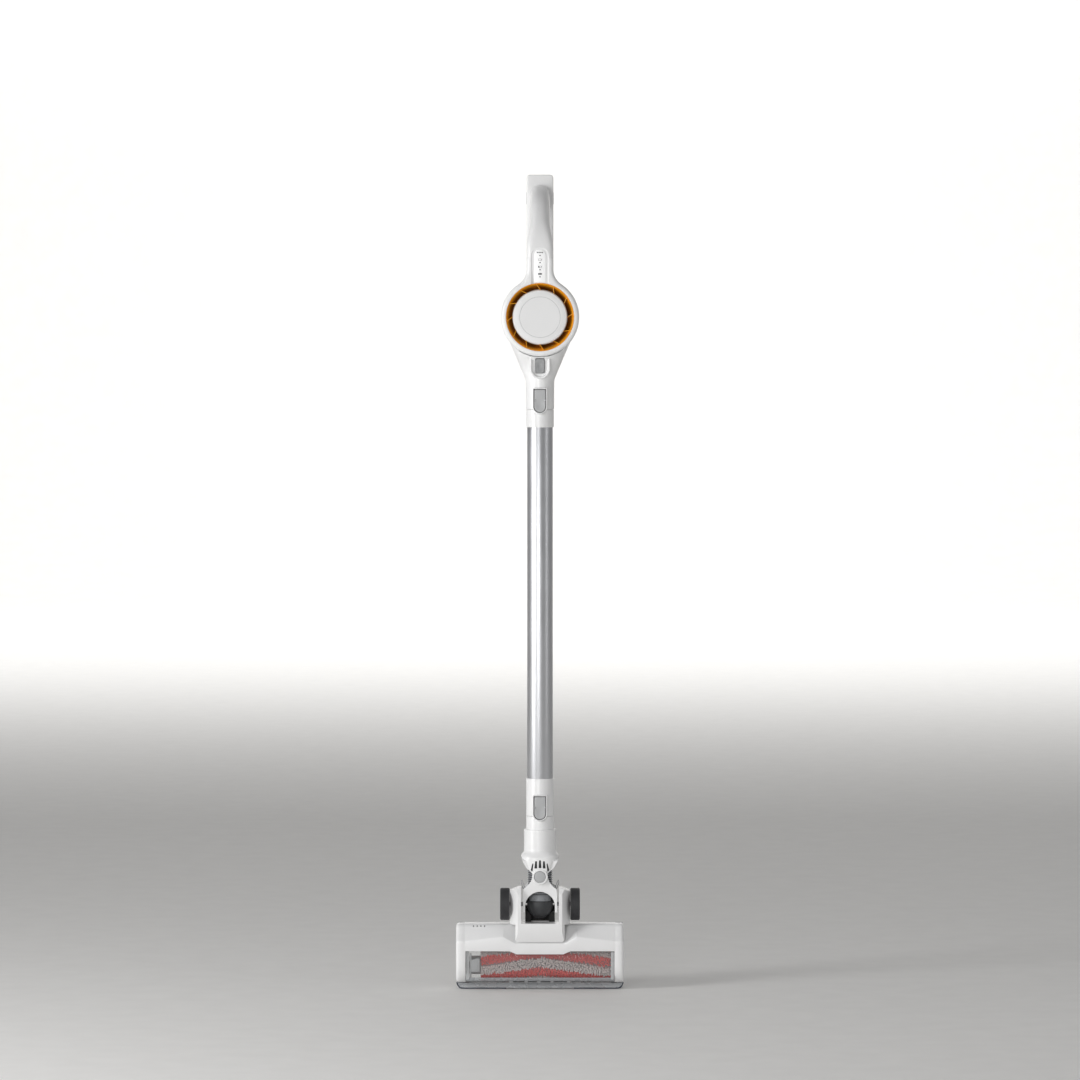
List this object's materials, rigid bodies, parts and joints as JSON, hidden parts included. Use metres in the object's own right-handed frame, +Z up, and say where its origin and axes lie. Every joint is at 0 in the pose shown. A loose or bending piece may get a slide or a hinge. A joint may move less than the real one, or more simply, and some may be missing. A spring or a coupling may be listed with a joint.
{
  "type": "cordless stick vacuum",
  "caption": "Cordless stick vacuum with a round motor housing, clear dust cup, loop handle with slide-out battery, detachable aluminium wand and swivelling motorised brush head.",
  "frame": {"origin": "centre of the underside of the bounding box, below the front edge of the floor head", "axes": "+Z runs up the wand from the head to the handle, the exhaust and the brush window face -Y, the dust cup and the sole face +Y, X runs across the floor head"},
  "size_m": [0.229, 0.172, 1.1097],
  "materials": {
    "white_plastic": "satin white moulded plastic",
    "light_grey_plastic": "light grey moulded plastic",
    "grey_plastic": "mid grey moulded plastic",
    "dark_plastic": "dark grey moulded plastic",
    "black_plastic": "black moulded plastic",
    "orange_plastic": "glossy orange moulded plastic",
    "lit_panel": "bright white diffuser",
    "lamp": "small indicator lamps",
    "smoked_clear": "lightly smoked clear plastic",
    "clear_window": "clear plastic",
    "bumper_plastic": "blue-grey moulded plastic",
    "tube_aluminium": "satin anodised tube",
    "steel": "steel",
    "motor_metal": "pressed steel",
    "impeller_plastic": "light grey moulded plastic",
    "board": "green circuit board",
    "filter_cloth": "pleated filter cloth",
    "cells": "sleeved cells",
    "copper": "insulated conductors",
    "bristle": "red and grey soft bristle",
    "roller_core": "grey moulded core",
    "rubber": "black rubber",
    "tyre": "dark soft tyre",
    "hose_plastic": "silver-grey corrugated hose"
  },
  "bodies": {
    "handheld": {"body_front_shell": "white_plastic", "body_rear_shell": "white_plastic", "exhaust_grille": "orange_plastic", "exhaust_cap": "white_plastic", "exhaust_filter": "filter_cloth", "main_motor": "motor_metal", "impeller_shroud": "dark_plastic", "control_board": "board", "display_panel": "lit_panel", "display_leds": "lamp", "battery_holder": "white_plastic", "trigger_spring": "steel", "trigger_switch": "black_plastic", "inlet_neck": "white_plastic", "cup_button_spring": "steel", "upper_rocker_pin": "steel"},
    "impeller": {"impeller": "impeller_plastic"},
    "trigger": {"trigger": "light_grey_plastic"},
    "battery": {"battery_case": "white_plastic", "battery_cells": "cells"},
    "battery_latch_left": {"battery_latch_left": "light_grey_plastic"},
    "battery_latch_right": {"battery_latch_right": "light_grey_plastic"},
    "cup_button": {"cup_button": "grey_plastic"},
    "upper_rocker": {"upper_rocker": "light_grey_plastic"},
    "dust_cup": {"dust_cup": "smoked_clear", "cyclone": "grey_plastic", "pre_filter": "filter_cloth", "lid_hinge_pin": "steel", "lid_seal": "rubber"},
    "cup_lid": {"cup_lid": "smoked_clear"},
    "lid_latch": {"lid_latch": "grey_plastic"},
    "wand": {"wand_top_connector": "white_plastic", "wand_tube": "tube_aluminium", "wand_conductors": "copper", "wand_bottom_connector": "white_plastic", "lower_rocker_pin": "steel"},
    "lower_rocker": {"lower_rocker": "light_grey_plastic"},
    "neck": {"neck_tube": "white_plastic", "swivel_front_shell": "white_plastic", "swivel_rear_shell": "white_plastic", "swivel_cap": "light_grey_plastic", "neck_hose": "hose_plastic"},
    "yoke": {"yoke": "white_plastic", "swivel_pins": "steel", "duct_ball": "dark_plastic"},
    "head": {"pivot_cradle": "black_plastic", "neck_hood": "white_plastic", "head_cover": "white_plastic", "brush_window": "clear_window", "sole_plate": "dark_plastic", "bumper": "bumper_plastic", "sole_screws": "steel", "tilt_pins": "steel", "brush_motor": "motor_metal", "drive_belt": "rubber"},
    "wheel_left": {"wheel_left": "tyre"},
    "wheel_right": {"wheel_right": "tyre"},
    "roller": {"brush_roller": "roller_core", "roller_bristles": "bristle"},
    "motor_pulley": {"motor_pulley": "dark_plastic"}
  },
  "joints": [
    {"name": "impeller_spin", "type": "hinge", "parent": "handheld", "child": "impeller", "pos_m": [0, -0.04595, 0.9157], "axis": [0, 1, 0], "continuous": true},
    {"name": "trigger_pull", "type": "slide", "parent": "handheld", "child": "trigger", "axis": [0, -1, 0], "range_m": [0, 0.004], "stiffness_N_per_m": 700, "springref_m": -0.003, "deforming": ["trigger_spring"]},
    {"name": "battery_slide", "type": "slide", "parent": "handheld", "child": "battery", "axis": [0, 0, 1], "range_m": [0, 0.13]},
    {"name": "battery_latch_left_press", "type": "slide", "parent": "handheld", "child": "battery_latch_left", "axis": [1, 0, 0], "range_m": [0, 0.0015], "stiffness_N_per_m": 900, "springref_m": -0.002},
    {"name": "battery_latch_right_press", "type": "slide", "parent": "handheld", "child": "battery_latch_right", "axis": [-1, 0, 0], "range_m": [0, 0.0015], "stiffness_N_per_m": 900, "springref_m": -0.002},
    {"name": "cup_button_press", "type": "slide", "parent": "handheld", "child": "cup_button", "axis": [0, 1, 0], "range_m": [0, 0.0025], "stiffness_N_per_m": 900, "springref_m": -0.002, "deforming": ["cup_button_spring"]},
    {"name": "upper_rocker_press", "type": "hinge", "parent": "handheld", "child": "upper_rocker", "pos_m": [0, -0.04925, 0.8034], "axis": [1, 0, 0], "range_deg": [0, 9], "stiffness_Nm_per_rad": 0.15, "springref_deg": -11.46},
    {"name": "dust_cup_slide", "type": "slide", "parent": "handheld", "child": "dust_cup", "axis": [0, 1, 0], "range_m": [0, 0.11]},
    {"name": "cup_lid_open", "type": "hinge", "parent": "dust_cup", "child": "cup_lid", "pos_m": [0, 0.08175, 0.8611], "axis": [-1, 0, 0], "range_deg": [0, 85]},
    {"name": "lid_latch_lift", "type": "hinge", "parent": "dust_cup", "child": "lid_latch", "pos_m": [0, 0.06535, 0.9683], "axis": [1, 0, 0], "range_deg": [0, 8], "stiffness_Nm_per_rad": 0.08, "springref_deg": -11.46},
    {"name": "wand_slide", "type": "slide", "parent": "handheld", "child": "wand", "axis": [0, 0, -1], "range_m": [0, 0.045]},
    {"name": "lower_rocker_press", "type": "hinge", "parent": "wand", "child": "lower_rocker", "pos_m": [0, -0.04925, 0.2499], "axis": [1, 0, 0], "range_deg": [0, 9], "stiffness_Nm_per_rad": 0.15, "springref_deg": -11.46},
    {"name": "neck_slide", "type": "slide", "parent": "wand", "child": "neck", "axis": [0, 0, -1], "range_m": [0, 0.045]},
    {"name": "neck_swivel", "type": "hinge", "parent": "neck", "child": "yoke", "pos_m": [0, -0.02895, 0.1553], "axis": [0, 1, 0], "range_deg": [-45, 45], "deforming": ["neck_hose"]},
    {"name": "head_tilt", "type": "hinge", "parent": "yoke", "child": "head", "pos_m": [0, -0.02895, 0.116], "axis": [-1, 0, 0], "range_deg": [0, 90]},
    {"name": "wheel_left_roll", "type": "hinge", "parent": "head", "child": "wheel_left", "pos_m": [-0.047, -0.02895, 0.116], "axis": [1, 0, 0], "continuous": true},
    {"name": "wheel_right_roll", "type": "hinge", "parent": "head", "child": "wheel_right", "pos_m": [0.047, -0.02895, 0.116], "axis": [1, 0, 0], "continuous": true},
    {"name": "roller_spin", "type": "hinge", "parent": "head", "child": "roller", "pos_m": [0, -0.02695, 0.0325], "axis": [1, 0, 0], "continuous": true},
    {"name": "motor_pulley_spin", "type": "hinge", "parent": "head", "child": "motor_pulley", "pos_m": [0.1, -0.02255, 0.0728], "axis": [1, 0, 0], "continuous": true}
  ],
  "couplings": [
    {"joint": "motor_pulley_spin", "follows": "roller_spin", "ratio": 1.5}
  ]
}
